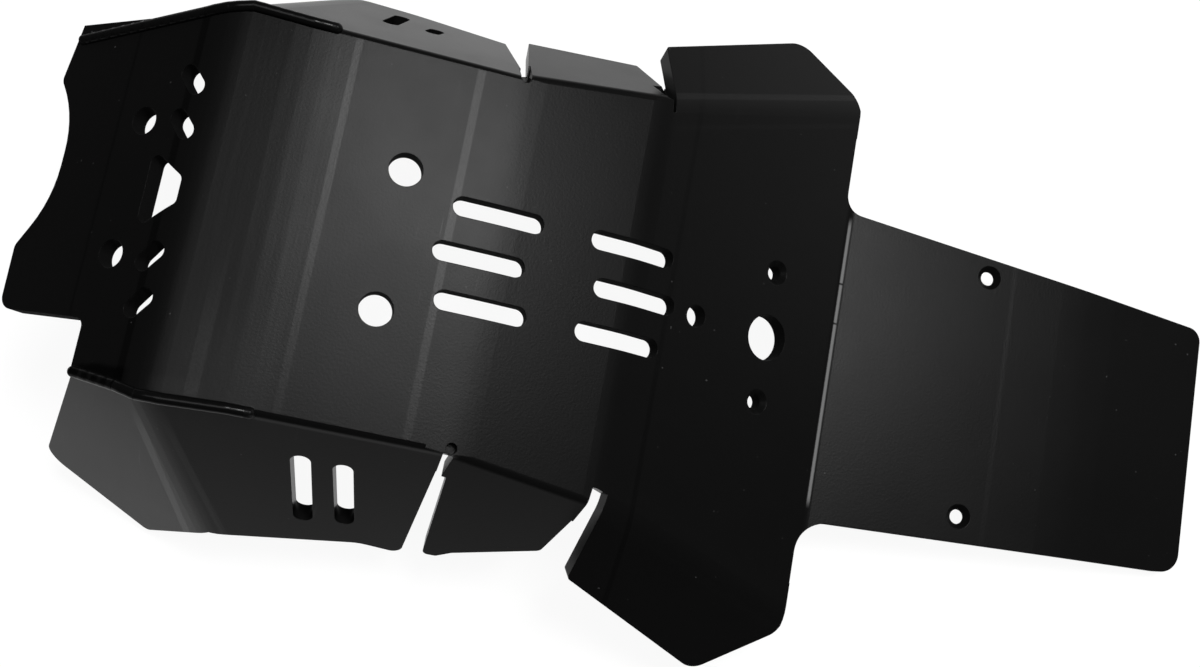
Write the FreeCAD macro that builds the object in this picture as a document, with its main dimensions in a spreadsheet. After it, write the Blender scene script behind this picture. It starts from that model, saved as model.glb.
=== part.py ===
"""Motorcycle skid plate: one piece of 8 mm black HDPE sheet.

The sheet is cut flat, V-grooved and hot-bent into a tray that hangs under an
engine. It is drawn with its ground-facing side up, as it lies on a bench.
Lengths are in millimetres and angles in degrees. X runs to the rear of the
plate and Z out of its ground-facing side. The side with the notch beside the
nose is called near, and Y runs from it to the far side.
"""

import FreeCAD, Part
import math
import os
import Sketcher
from FreeCAD import Placement, Rotation, Vector

os.makedirs("parts", exist_ok=True)
doc = FreeCAD.newDocument("skid_plate")
sizes = doc.addObject("Spreadsheet::Sheet", "sizes")
places = doc.addObject("Spreadsheet::Sheet", "places")
sheet_rows = {"sizes": 0, "places": 0}


def put(sheet, alias, text):
    """Write one named cell and return the name an expression reads it by."""
    sheet_rows[sheet.Name] += 1
    row = sheet_rows[sheet.Name]
    sheet.set(f"A{row}", alias)
    sheet.set(f"B{row}", str(text))
    sheet.setAlias(f"B{row}", alias)
    return f"{sheet.Name}.{alias}"


def place(alias, formula):
    """Add a derived value, worked out from the sizes by a formula."""
    return put(places, alias, "=" + formula)


# Sheet and section along the middle
SIZES = {
    "thick": 8,
    "nose_length": 82,
    "lead_length": 36,
    "lead_start": 50,
    "belly_rear": 44,
    "ramp_length": 64,
    "kick_length": 114,
    "tail_length": 128,
    "tip_length": 62.4,
    "trim_allowance": 12,
    "nose_bend": 30.8,
    "lead_bend": 4.5,
    "ramp_bend": 4.57,
    "kick_bend": 12.8,
    "valley_bend": 23.1,
    "tip_bend": 3.5,
    "nose_round": 38,
    "lead_round": 190,
    "ramp_round": 200,
    "kick_round": 54,
    "valley_round": 12,
    "tip_round": 460,
    # Fold lines of the wings, half distances across the plate
    "fold_a_half": 83.4,
    "fold_b_front_half": 84.6,
    "fold_b_rear_half": 93.2,
    "fold_c_front_half": 93.5,
    "fold_c_rear_half": 127.5,
    "fold_c_start": 6,
    "fold_a": 60,
    "fold_b": 58,
    "fold_c": 32,
    "tight_round": 4.5,
    "soft_round": 20,
    "edge_inset": 2.5,
    "soft_inset": 7.5,
    "arm": 16,
    # Bend of the front wings towards the nose
    "wing_line_near": 84,
    "wing_line_far": 79.8,
    "wing_lean_near": 18,
    "wing_lean_far": 21.7,
    "wing_bend_near": 24,
    "wing_bend_far": 27.5,
    "wing_round": 35,
    # Front edge of the nose panel, measured from the nose bend
    "front_corner_far": 76,
    "front_corner_far_half": 72.6,
    "front_shoulder_far": 80.4,
    "front_shoulder_far_y": 46.5,
    "scoop_depth": 68.6,
    "scoop_far_y": 30.6,
    "scoop_near_y": -7.4,
    "scoop_round": 50,
    "front_shoulder_near": 82.8,
    "front_shoulder_near_y": -29,
    "front_round": 5,
    "tab_end": 82.2,
    "tab_side": 56.8,
    "tab_round": 6,
    "notch": 35.2,
    "notch_round": 4,
    # Tail outline, measured from the valley bend
    "tail_root": 2.7,
    "tail_root_far": 72.7,
    "tail_root_near": 80.2,
    "tail_root_far_round": 10,
    "tail_root_near_round": 15.5,
    "tail_end": 190.9,
    "tail_end_far": 51.6,
    "tail_end_near": 71.5,
    "tail_end_far_round": 7,
    "tail_end_near_round": 10,
    # Front wings: rear edge and lower edge
    "a_rear_top_near": 39.4,
    "a_rear_top_far": 41.8,
    "a_rear_low": 36.9,
    "a_low_bend_near": 104.2,
    "a_low_bend_far": 100,
    "a_low_far": 78.7,
    "a_lobe_far_u": -8,
    "a_lobe_far_v": 95.2,
    "a_lobe_far_round": 60,
    "a_lobe_near_u": 17,
    "a_lobe_near_v": 87.8,
    "a_low_near": 90.2,
    "a_lobe_near_round": 20,
    "a_corner_near_round": 5,
    "a_corner_far_round": 1,
    # Front wings: the part in front of their bend
    "f_tip_u": 45.6,
    "f_tip_v": 138.9,
    "f_tip_round": 4,
    "f_front_u": 91.7,
    "f_front_v": 100.8,
    "f_front_round": 13,
    "f_top_near_u": 22.9,
    "f_top_far_u": 80,
    # Middle wings
    "b_front_top": 0.8,
    "b_rear_near": 61.5,
    "b_rear_far": 67.9,
    "b_front_near_u": 12.5,
    "b_front_near_v": 77,
    "b_lobe_near_u": 18.6,
    "b_lobe_near_v": 75.6,
    "b_step_near_u": 24.2,
    "b_step_near_v": 69.2,
    "b_low_near_u": 58.2,
    "b_low_near_v": 45.2,
    "b_lobe_round": 2.5,
    "b_low_near_round": 4,
    "b_front_far_u": 12.6,
    "b_front_far_v": 68.2,
    "b_low_far_u": 65.4,
    "b_low_far_v": 57,
    "b_corner_far_round": 1,
    # Rear wings
    "c_front_top_near_u": 8.8,
    "c_front_near_u": 8,
    "c_front_near_v": 36.9,
    "c_low_near_u": 90.2,
    "c_low_near_v": 45,
    "c_rear_near_u": 111.4,
    "c_front_top_far_u": 9.8,
    "c_front_far_u": 9,
    "c_front_far_v": 35.2,
    "c_low_far_u": 96,
    "c_low_far_v": 44.3,
    "c_rear_far_u": 109.8,
    "c_rear_v": 8.7,
    "c_front_round": 2,
    "c_low_round": 9.5,
    "c_rear_round": 9,
    # Relief cuts between the wings
    "relief_ab_near": 42.3,
    "relief_ab_near_half": 81.7,
    "relief_ab_far": 42.8,
    "relief_ab_far_half": 83.6,
    "relief_round": 2.35,
    "relief_bc_near": 1.9,
    "relief_bc_near_half": 90.7,
    "relief_bc_far": 2.6,
    "relief_bc_far_half": 95.4,
    "pit_depth": 5,
    "web_half": 84.2,
    # Round holes
    "belly_hole_half": 30.62,
    "belly_hole_shift": -0.46,
    "belly_hole_round": 7.27,
    "front_hole": 29.4,
    "front_hole_half": 29.2,
    "front_hole_shift": 0.5,
    "front_hole_round": 6.15,
    "kick_small_hole": 34.9,
    "kick_small_round": 5.05,
    "kick_big_hole": 75.9,
    "kick_big_round": 10.75,
    "kick_hole_shift": -0.5,
    "kick_screw_half": 31.15,
    "tail_screw": 75.1,
    "tail_screw_shift": -4.74,
    "tail_screw_half": 59.6,
    "screw_round": 3.5,
    "screw_head_round": 5.9,
    "screw_angle": 90,
    "recess_round": 6.5,
    "recess_depth": 4,
    # Slots along the belly
    "slot_round": 4.35,
    "slot_half": 15.9,
    "slot_spread": 20.7,
    "slot_front": 42.7,
    "slot_front_middle": 37.9,
    "slot_rear": -2.6,
    "slot_rear_middle": 2.2,
    "slot_front_shift": -0.4,
    # Openings at the nose bend
    "nose_slot": 9.3,
    "nose_slot_shift": 0.5,
    "nose_slot_in_half": 28.6,
    "nose_slot_out_half": 48.35,
    "nose_slot_half": 3.5,
    "nose_slot_round": 4.05,
    "nose_slot_turn": 48,
    "throat_front": 20.1,
    "throat_rear": 3,
    "throat_front_half": 17.5,
    "throat_rear_far": 6.6,
    "throat_rear_near": 4.6,
    "throat_round": 3.2,
    # Openings in the front wings
    "a_slot_round": 4.4,
    "a_slot_one_top_u": -16.6,
    "a_slot_one_top_v": 28.6,
    "a_slot_one_low_u": -10.3,
    "a_slot_one_low_v": 71.9,
    "a_slot_two_top_u": 1.6,
    "a_slot_two_top_v": 29.4,
    "a_slot_two_low_u": 7.9,
    "a_slot_two_low_v": 68.6,
    "a_far_slot_round": 3.9,
    "a_far_slot_top_u": -19.3,
    "a_far_slot_top_v": 51.5,
    "a_far_slot_low_u": -14.6,
    "a_far_slot_low_v": 74.5,
    "a_oval_round": 3.6,
    "a_oval_top_u": 0.5,
    "a_oval_top_v": 55.4,
    "a_oval_low_u": 2.4,
    "a_oval_low_v": 62,
    # Weld beads along the front corners
    "bead_round": 2.4,
    "bead_rear": 40.5,
    "bead_setback": 2,
}
for name, number in SIZES.items():
    put(sizes, name, number)


# Headings of the panels, upwards to the rear
HEADINGS = {
    "head_nose": "sizes.lead_bend + sizes.nose_bend",
    "head_lead": "sizes.lead_bend",
    "head_belly": "0 * sizes.lead_bend",
    "head_ramp": "-sizes.ramp_bend",
    "head_kick": "-sizes.ramp_bend - sizes.kick_bend",
    "head_tail": "sizes.valley_bend - sizes.kick_bend - sizes.ramp_bend",
    "head_tip": "head_tail - sizes.tip_bend",
}
for name, formula in HEADINGS.items():
    place(name, formula)

# Bend corners of the outer face, each from its neighbour
CORNERS = [
    ("lead", "-sizes.lead_start", "0 * sizes.lead_start"),
    ("nose", "lead_x - sizes.lead_length * cos(head_lead * 1deg)",
     "lead_z - sizes.lead_length * sin(head_lead * 1deg)"),
    ("start", "nose_x - (sizes.nose_length + sizes.trim_allowance) * cos(head_nose * 1deg)",
     "nose_z - (sizes.nose_length + sizes.trim_allowance) * sin(head_nose * 1deg)"),
    ("ramp", "sizes.belly_rear", "0 * sizes.belly_rear"),
    ("kick", "ramp_x + sizes.ramp_length * cos(head_ramp * 1deg)",
     "ramp_z + sizes.ramp_length * sin(head_ramp * 1deg)"),
    ("valley", "kick_x + sizes.kick_length * cos(head_kick * 1deg)",
     "kick_z + sizes.kick_length * sin(head_kick * 1deg)"),
    ("tip", "valley_x + sizes.tail_length * cos(head_tail * 1deg)",
     "valley_z + sizes.tail_length * sin(head_tail * 1deg)"),
    ("end", "tip_x + (sizes.tip_length + sizes.trim_allowance) * cos(head_tip * 1deg)",
     "tip_z + (sizes.tip_length + sizes.trim_allowance) * sin(head_tip * 1deg)"),
]
for name, along, height in CORNERS:
    place(f"{name}_x", along)
    place(f"{name}_z", height)

# The same corners on the inner face, one thickness below
BENDS = [
    ("start", "nose", "nose"),
    ("nose", "nose", "lead"),
    ("lead", "lead", "belly"),
    ("ramp", "belly", "ramp"),
    ("kick", "ramp", "kick"),
    ("valley", "kick", "tail"),
    ("tip", "tail", "tip"),
    ("end", "tip", "tip"),
]
for name, before, after in BENDS:
    mean = f"((head_{before} + head_{after}) / 2 * 1deg)"
    half = f"((head_{before} - head_{after}) / 2 * 1deg)"
    place(f"{name}_in_x", f"{name}_x + sizes.thick * sin{mean} / cos{half}")
    place(f"{name}_in_z", f"{name}_z - sizes.thick * cos{mean} / cos{half}")

# Fold frames: start of each fold line and its turn in the panel
place("fold_b_turn", "atan((sizes.fold_b_rear_half - sizes.fold_b_front_half)"
      " / sizes.ramp_length) / 1deg")
place("fold_c_turn", "atan((sizes.fold_c_rear_half - sizes.fold_c_front_half)"
      " / (sizes.kick_length - sizes.fold_c_start)) / 1deg")
place("fold_c_x", "kick_x + sizes.fold_c_start * cos(head_kick * 1deg)")
place("fold_c_z", "kick_z + sizes.fold_c_start * sin(head_kick * 1deg)")
place("mid_head", "(head_ramp + head_kick) / 2")
place("soft_inside", "sizes.soft_round - sizes.thick")
place("far_reach", "3 * sizes.fold_a_half")
place("strip_reach", "3.4 * sizes.fold_a_half")
doc.recompute()


def origin_plane(body, role):
    """Return one of the body's own origin planes."""
    return [item for item in body.Origin.OriginFeatures if item.Role == role][0]


def turned(axis, angle):
    """Return the text of a rotation about an axis, for an expression."""
    numbers = {"x": "1; 0; 0", "y": "0; 1; 0", "z": "0; 0; 1"}[axis]
    return f"rotation(vector({numbers}); {angle})"


def panel_frame(name, side_y="0", turns=()):
    """Return the placement of a panel's outer face at one of its corners."""
    parts = [turned("y", f"-places.head_{FRAMES[name][1]}")]
    parts += [turned(axis, angle) for axis, angle in turns]
    corner = FRAMES[name][0]
    return (f"placement(vector(places.{corner}_x; {side_y}; places.{corner}_z); "
            + " * ".join(parts) + ")")


# Panels by the corner their frame starts from and the heading they follow
FRAMES = {
    "nose": ("nose", "nose"),
    "ramp": ("ramp", "ramp"),
    "kick": ("kick", "kick"),
    "fold_c": ("fold_c", "kick"),
    "tail": ("valley", "tail"),
}


def new_body(name):
    """Add an empty body."""
    return doc.addObject("PartDesign::Body", name)


def new_sketch(body, name, frame=None, role="XY_Plane"):
    """Add a sketch on an origin plane, moved into a frame if one is given."""
    sketch = body.newObject("Sketcher::SketchObject", name)
    sketch.AttachmentSupport = [(origin_plane(body, role), "")]
    sketch.MapMode = "FlatFace"
    if frame:
        sketch.setExpression("AttachmentOffset", frame)
    return sketch


def bind(sketch, kind, geometry, point, text):
    """Tie a point's distance from the sketch origin to an expression."""
    alias = f"{sketch.Name}_{kind[-1].lower()}_{geometry}_{point}"
    name = place(alias, text)
    places.recompute()
    value = places.get(alias)
    index = sketch.addConstraint(
        Sketcher.Constraint(kind, -1, 1, geometry, point, value))
    sketch.setExpression(f"Constraints[{index}]", name)


def reading(name, text):
    """Return the number that a formula gives."""
    place(name, text)
    places.recompute()
    return places.get(name)


def outline(sketch, corners):
    """Draw a closed outline through corners given as (x, y, rounding)."""
    count = len(corners)
    tag = sketch.Name
    points = []
    radii = []
    for i, (across, up, rounding) in enumerate(corners):
        points.append(Vector(reading(f"{tag}_corner_x_{i}", across),
                             reading(f"{tag}_corner_y_{i}", up), 0))
        radii.append(reading(f"{tag}_round_{i}", rounding) if rounding else 0)
    leave = []
    enter = []
    arcs = []
    for i in range(count):
        back = (points[i - 1] - points[i]).normalize()
        ahead = (points[(i + 1) % count] - points[i]).normalize()
        if not radii[i]:
            enter.append(points[i])
            leave.append(points[i])
            arcs.append(None)
            continue
        half = back.getAngle(ahead) / 2
        run = radii[i] / math.tan(half)
        enter.append(points[i] + back * run)
        leave.append(points[i] + ahead * run)
        centre = points[i] + (back + ahead).normalize() * (radii[i] / math.sin(half))
        first = enter[i] - centre
        last = leave[i] - centre
        left_turn = first.cross(last).z > 0
        if not left_turn:
            first, last = last, first
        circle = Part.Circle(centre, Vector(0, 0, 1), radii[i])
        arcs.append((Part.ArcOfCircle(circle, math.atan2(first.y, first.x),
                                      math.atan2(last.y, last.x)), left_turn))
    lines = []
    for i in range(count):
        lines.append(sketch.addGeometry(
            Part.LineSegment(leave[i], enter[(i + 1) % count]), False))
    for i in range(count):
        mark = sketch.addGeometry(Part.Point(points[i]), True)
        for kind, axis in (("DistanceX", "x"), ("DistanceY", "y")):
            value = places.get(f"{tag}_corner_{axis}_{i}")
            index = sketch.addConstraint(
                Sketcher.Constraint(kind, -1, 1, mark, 1, value))
            sketch.setExpression(f"Constraints[{index}]",
                                 f"places.{tag}_corner_{axis}_{i}")
        before, after = lines[i - 1], lines[i]
        if not radii[i]:
            sketch.addConstraint(Sketcher.Constraint("Coincident", before, 2, mark, 1))
            sketch.addConstraint(Sketcher.Constraint("Coincident", after, 1, mark, 1))
            continue
        shape, left_turn = arcs[i]
        arc = sketch.addGeometry(shape, False)
        first, last = (1, 2) if left_turn else (2, 1)
        sketch.addConstraint(Sketcher.Constraint("PointOnObject", mark, 1, before))
        sketch.addConstraint(Sketcher.Constraint("PointOnObject", mark, 1, after))
        sketch.addConstraint(Sketcher.Constraint("Tangent", before, 2, arc, first))
        sketch.addConstraint(Sketcher.Constraint("Tangent", arc, last, after, 1))
        index = sketch.addConstraint(Sketcher.Constraint("Radius", arc, radii[i]))
        sketch.setExpression(f"Constraints[{index}]", f"places.{tag}_round_{i}")
    return sketch


def hole(sketch, across, up, radius):
    """Draw a circle about a bound centre."""
    value = reading(f"{sketch.Name}_circle_{sketch.GeometryCount}", radius)
    circle = sketch.addGeometry(
        Part.Circle(Vector(0, 0, 0), Vector(0, 0, 1), value), False)
    index = sketch.addConstraint(Sketcher.Constraint("Radius", circle, value))
    sketch.setExpression(f"Constraints[{index}]", radius)
    bind(sketch, "DistanceX", circle, 3, across)
    bind(sketch, "DistanceY", circle, 3, up)


def slot(sketch, one, two, radius):
    """Draw a slot with round ends about two bound centres."""
    tag = f"{sketch.Name}_slot_{sketch.GeometryCount}"
    a = Vector(reading(tag + "_ax", one[0]), reading(tag + "_ay", one[1]), 0)
    b = Vector(reading(tag + "_bx", two[0]), reading(tag + "_by", two[1]), 0)
    r = reading(tag + "_r", radius)
    along = (b - a).normalize()
    side = Vector(-along.y, along.x, 0) * r
    angle = math.atan2(side.y, side.x)
    start = sketch.addGeometry(Part.ArcOfCircle(
        Part.Circle(a, Vector(0, 0, 1), r), angle, angle + math.pi), False)
    right = sketch.addGeometry(Part.LineSegment(a - side, b - side), False)
    end = sketch.addGeometry(Part.ArcOfCircle(
        Part.Circle(b, Vector(0, 0, 1), r), angle + math.pi, angle + 2 * math.pi), False)
    left = sketch.addGeometry(Part.LineSegment(b + side, a + side), False)
    sketch.addConstraint(Sketcher.Constraint("Tangent", start, 2, right, 1))
    sketch.addConstraint(Sketcher.Constraint("Tangent", right, 2, end, 1))
    sketch.addConstraint(Sketcher.Constraint("Tangent", end, 2, left, 1))
    sketch.addConstraint(Sketcher.Constraint("Tangent", left, 2, start, 1))
    index = sketch.addConstraint(Sketcher.Constraint("Radius", start, r))
    sketch.setExpression(f"Constraints[{index}]", radius)
    for arc, centre in ((start, one), (end, two)):
        bind(sketch, "DistanceX", arc, 3, centre[0])
        bind(sketch, "DistanceY", arc, 3, centre[1])


def pad(body, sketch, length, both_ways=False, backwards=False):
    """Extrude a sketch as material."""
    feature = body.newObject("PartDesign::Pad", sketch.Name + "_pad")
    feature.Profile = sketch
    feature.setExpression("Length", length)
    if both_ways:
        feature.SideType = "Symmetric"
    feature.Reversed = backwards
    sketch.Visibility = False
    body.Tip = feature
    return feature


def pocket(body, sketch, length=None, both_ways=True, backwards=False):
    """Cut a sketch out of the body."""
    feature = body.newObject("PartDesign::Pocket", sketch.Name + "_cut")
    feature.Profile = sketch
    feature.setExpression("Length", length or "8 * sizes.thick")
    if both_ways:
        feature.SideType = "Symmetric"
    feature.Reversed = backwards
    sketch.Visibility = False
    body.Tip = feature
    return feature


def signed(side, text):
    """Return the expression for the right (1) or left (-1) side."""
    return text if side > 0 else f"-({text})"


# Outer face of the section, shared by the sheet and the space over it
OUTER = [
    ("places.start_x", "places.start_z", None),
    ("places.nose_x", "places.nose_z", "sizes.nose_round"),
    ("places.lead_x", "places.lead_z", "sizes.lead_round"),
    ("places.ramp_x", "places.ramp_z", "sizes.ramp_round"),
    ("places.kick_x", "places.kick_z", "sizes.kick_round"),
    ("places.valley_x", "places.valley_z", "sizes.valley_round"),
    ("places.tip_x", "places.tip_z", "sizes.tip_round"),
    ("places.end_x", "places.end_z", None),
]
INNER = [
    ("places.end_in_x", "places.end_in_z", None),
    ("places.tip_in_x", "places.tip_in_z", "sizes.tip_round - sizes.thick"),
    ("places.valley_in_x", "places.valley_in_z", "sizes.valley_round + sizes.thick"),
    ("places.kick_in_x", "places.kick_in_z", "sizes.kick_round - sizes.thick"),
    ("places.ramp_in_x", "places.ramp_in_z", "sizes.ramp_round - sizes.thick"),
    ("places.lead_in_x", "places.lead_in_z", "sizes.lead_round - sizes.thick"),
    ("places.nose_in_x", "places.nose_in_z", "sizes.nose_round - sizes.thick"),
    ("places.start_in_x", "places.start_in_z", None),
]

# Sheet: one bent section as wide as the rear wings' folds
sheet = new_body("sheet")
section = new_sketch(sheet, "section", role="XZ_Plane")
outline(section, OUTER + INNER)
pad(sheet, section, "2 * sizes.fold_c_rear_half + 4 * sizes.thick", both_ways=True)

# Side edges under the wings, cut straight down
for side, word in ((1, "far"), (-1, "near")):
    edge = new_sketch(sheet, f"side_{word}")
    outline(edge, [
        ("places.start_x", signed(side, "sizes.fold_a_half - sizes.edge_inset"), None),
        ("places.ramp_x", signed(side, "sizes.fold_b_front_half - sizes.edge_inset"), None),
        ("places.kick_x", signed(side, "sizes.fold_c_front_half - sizes.soft_inset"), None),
        ("places.valley_x", signed(side, "sizes.fold_c_rear_half - sizes.soft_inset"), None),
        ("places.valley_x", signed(side, "2 * sizes.fold_c_rear_half"), None),
        ("places.start_x", signed(side, "2 * sizes.fold_c_rear_half"), None),
    ])
    pocket(sheet, edge, "2 * places.far_reach")

# Front edge of the nose panel, cut square to it
front = new_sketch(sheet, "front_edge", panel_frame("nose"))
outline(front, [
    ("sizes.trim_allowance", "sizes.fold_a_half - sizes.edge_inset", None),
    ("-sizes.front_corner_far", "sizes.front_corner_far_half", None),
    ("-sizes.front_shoulder_far", "sizes.front_shoulder_far_y", "sizes.front_round"),
    ("-sizes.scoop_depth", "sizes.scoop_far_y", "sizes.scoop_round"),
    ("-sizes.scoop_depth", "sizes.scoop_near_y", "sizes.scoop_round"),
    ("-sizes.front_shoulder_near", "sizes.front_shoulder_near_y", "sizes.front_round"),
    ("-sizes.tab_end", "-sizes.tab_side", "sizes.tab_round"),
    ("-sizes.notch", "-sizes.tab_side", "sizes.notch_round"),
    ("-sizes.notch", "-places.far_reach", None),
    ("-sizes.nose_length - 2 * sizes.trim_allowance", "-places.far_reach", None),
    ("-sizes.nose_length - 2 * sizes.trim_allowance", "places.far_reach", None),
    ("sizes.trim_allowance", "places.far_reach", None),
])
pocket(sheet, front)

# Tail outline, cut square to the tail panel
tail = new_sketch(sheet, "tail_edge", panel_frame("tail"))
outline(tail, [
    ("-sizes.tail_root", "places.far_reach", None),
    ("-sizes.tail_root", "sizes.tail_root_far", "sizes.tail_root_far_round"),
    ("sizes.tail_end", "sizes.tail_end_far", "sizes.tail_end_far_round"),
    ("sizes.tail_end", "-sizes.tail_end_near", "sizes.tail_end_near_round"),
    ("-sizes.tail_root", "-sizes.tail_root_near", "sizes.tail_root_near_round"),
    ("-sizes.tail_root", "-places.far_reach", None),
    ("sizes.tail_end + 3 * sizes.trim_allowance", "-places.far_reach", None),
    ("sizes.tail_end + 3 * sizes.trim_allowance", "places.far_reach", None),
])
pocket(sheet, tail)

# Round holes in the belly, the nose panel and the kick panel
belly_holes = new_sketch(sheet, "belly_holes")
front_holes = new_sketch(sheet, "front_holes", panel_frame("nose"))
kick_holes = new_sketch(sheet, "kick_holes", panel_frame("kick"))
for side in (1, -1):
    hole(belly_holes, "0 * sizes.thick",
         f"sizes.belly_hole_shift + {signed(side, 'sizes.belly_hole_half')}",
         "sizes.belly_hole_round")
    hole(front_holes, "-sizes.front_hole",
         f"sizes.front_hole_shift + {signed(side, 'sizes.front_hole_half')}",
         "sizes.front_hole_round")
for word in ("small", "big"):
    hole(kick_holes, f"sizes.kick_{word}_hole", "sizes.kick_hole_shift",
         f"sizes.kick_{word}_round")
for sketch in (belly_holes, front_holes, kick_holes):
    pocket(sheet, sketch, "4 * sizes.thick")

# Countersunk screw holes in the kick panel and the tail
kick_screws = new_sketch(sheet, "kick_screws", panel_frame("kick"))
tail_screws = new_sketch(sheet, "tail_screws", panel_frame("tail"))
for side in (1, -1):
    hole(kick_screws, "sizes.kick_big_hole", signed(side, "sizes.kick_screw_half"),
         "sizes.screw_round")
    hole(tail_screws, "sizes.tail_screw",
         f"sizes.tail_screw_shift + {signed(side, 'sizes.tail_screw_half')}",
         "sizes.screw_round")
for sketch in (kick_screws, tail_screws):
    doc.recompute()
    screw = sheet.newObject("PartDesign::Hole", sketch.Name + "_sunk")
    screw.Profile = sketch
    screw.DepthType = "ThroughAll"
    screw.HoleCutType = "Countersink"
    screw.HoleCutCustomValues = True
    screw.setExpression("Diameter", "2 * sizes.screw_round")
    screw.setExpression("HoleCutDiameter", "2 * sizes.screw_head_round")
    screw.setExpression("HoleCutCountersinkAngle", "sizes.screw_angle")
    sketch.Visibility = False
    sheet.Tip = screw

# Recesses for a collar, under the tail's screw holes
recess = new_sketch(sheet, "tail_recesses", panel_frame("tail") + " * placement("
                    "vector(0; 0; -sizes.thick); rotation(vector(0; 0; 1); 0))")
for side in (1, -1):
    hole(recess, "sizes.tail_screw",
         f"sizes.tail_screw_shift + {signed(side, 'sizes.tail_screw_half')}",
         "sizes.recess_round")
pocket(sheet, recess, "sizes.recess_depth", both_ways=False, backwards=True)

# Slots along the belly, over the two light bends
front_slots = new_sketch(sheet, "front_slots")
rear_slots = new_sketch(
    sheet, "rear_slots",
    "placement(vector(places.kick_x; 0; places.kick_z); "
    + turned("y", "-places.mid_head") + ")")
for sketch, word, shift in ((front_slots, "front", "sizes.slot_front_shift"),
                            (rear_slots, "rear", "0 * sizes.slot_front_shift")):
    for row, along in ((1, f"sizes.slot_{word}"), (0, f"sizes.slot_{word}_middle"),
                       (-1, f"sizes.slot_{word}")):
        across = f"{shift} + {row} * sizes.slot_spread"
        slot(sketch, (f"{along} - sizes.slot_half", across),
             (f"{along} + sizes.slot_half", across), "sizes.slot_round")
    pocket(sheet, sketch, "5 * sizes.thick")

# Slanted slots and the throat opening at the nose bend
nose_slots = new_sketch(sheet, "nose_slots", panel_frame("nose"))
for side in (1, -1):
    for half in ("sizes.nose_slot_in_half", "sizes.nose_slot_out_half"):
        run = "sizes.nose_slot_half * cos(sizes.nose_slot_turn * 1deg)"
        rise = "sizes.nose_slot_half * sin(sizes.nose_slot_turn * 1deg)"
        slot(nose_slots,
             (f"-sizes.nose_slot - {run}",
              f"sizes.nose_slot_shift + {signed(side, f'{half} + {rise}')}"),
             (f"-sizes.nose_slot + {run}",
              f"sizes.nose_slot_shift + {signed(side, f'{half} - {rise}')}"),
             "sizes.nose_slot_round")
pocket(sheet, nose_slots, "4 * sizes.thick")
throat = new_sketch(sheet, "throat", panel_frame("nose"))
outline(throat, [
    ("-sizes.throat_front", "sizes.throat_front_half", "sizes.throat_round"),
    ("-sizes.throat_rear", "sizes.throat_rear_far", "sizes.throat_round"),
    ("-sizes.throat_rear", "-sizes.throat_rear_near", "sizes.throat_round"),
    ("-sizes.throat_front", "-sizes.throat_front_half", "sizes.throat_round"),
])
pocket(sheet, throat, "4 * sizes.thick")


def bent(sketch, direction, turn, outer, inner, flat, turned_arm):
    """Draw a bent strip's section with its outer corner at the origin."""
    d = "" if direction > 0 else "-"
    outline(sketch, [
        (f"{d}(-{flat})", "0 * sizes.thick", None),
        ("0 * sizes.thick", "0 * sizes.thick", outer),
        (f"{d}({turned_arm} * cos({turn} * 1deg))", f"-{turned_arm} * sin({turn} * 1deg)", None),
        (f"{d}({turned_arm} * cos({turn} * 1deg) - sizes.thick * sin({turn} * 1deg))",
         f"-{turned_arm} * sin({turn} * 1deg) - sizes.thick * cos({turn} * 1deg)", None),
        (f"{d}(-sizes.thick * tan({turn} / 2 * 1deg))", "-sizes.thick", inner),
        (f"{d}(-{flat})", "-sizes.thick", None),
    ])


def fold_frame(base, half, side, turn=None, fold=None, more=()):
    """Return the placement of a wing's outer face on its fold line."""
    turns = []
    if turn:
        turns.append(("z", signed(side, turn)))
    if fold:
        turns.append(("x", signed(-side, fold)))
    turns += list(more)
    if base:
        return panel_frame(base, signed(side, half), turns)
    text = " * ".join(turned(axis, angle) for axis, angle in turns)
    return f"placement(vector(0; {signed(side, half)}; 0); {text})"


def on_bend(start, lean, depth):
    """Return how far along the fold the wing's bend line lies at a depth."""
    return f"-{start} + ({depth}) * tan({lean} * 1deg)"


ACROSS = (("z", "90"), ("x", "90"))
wings = []

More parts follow.
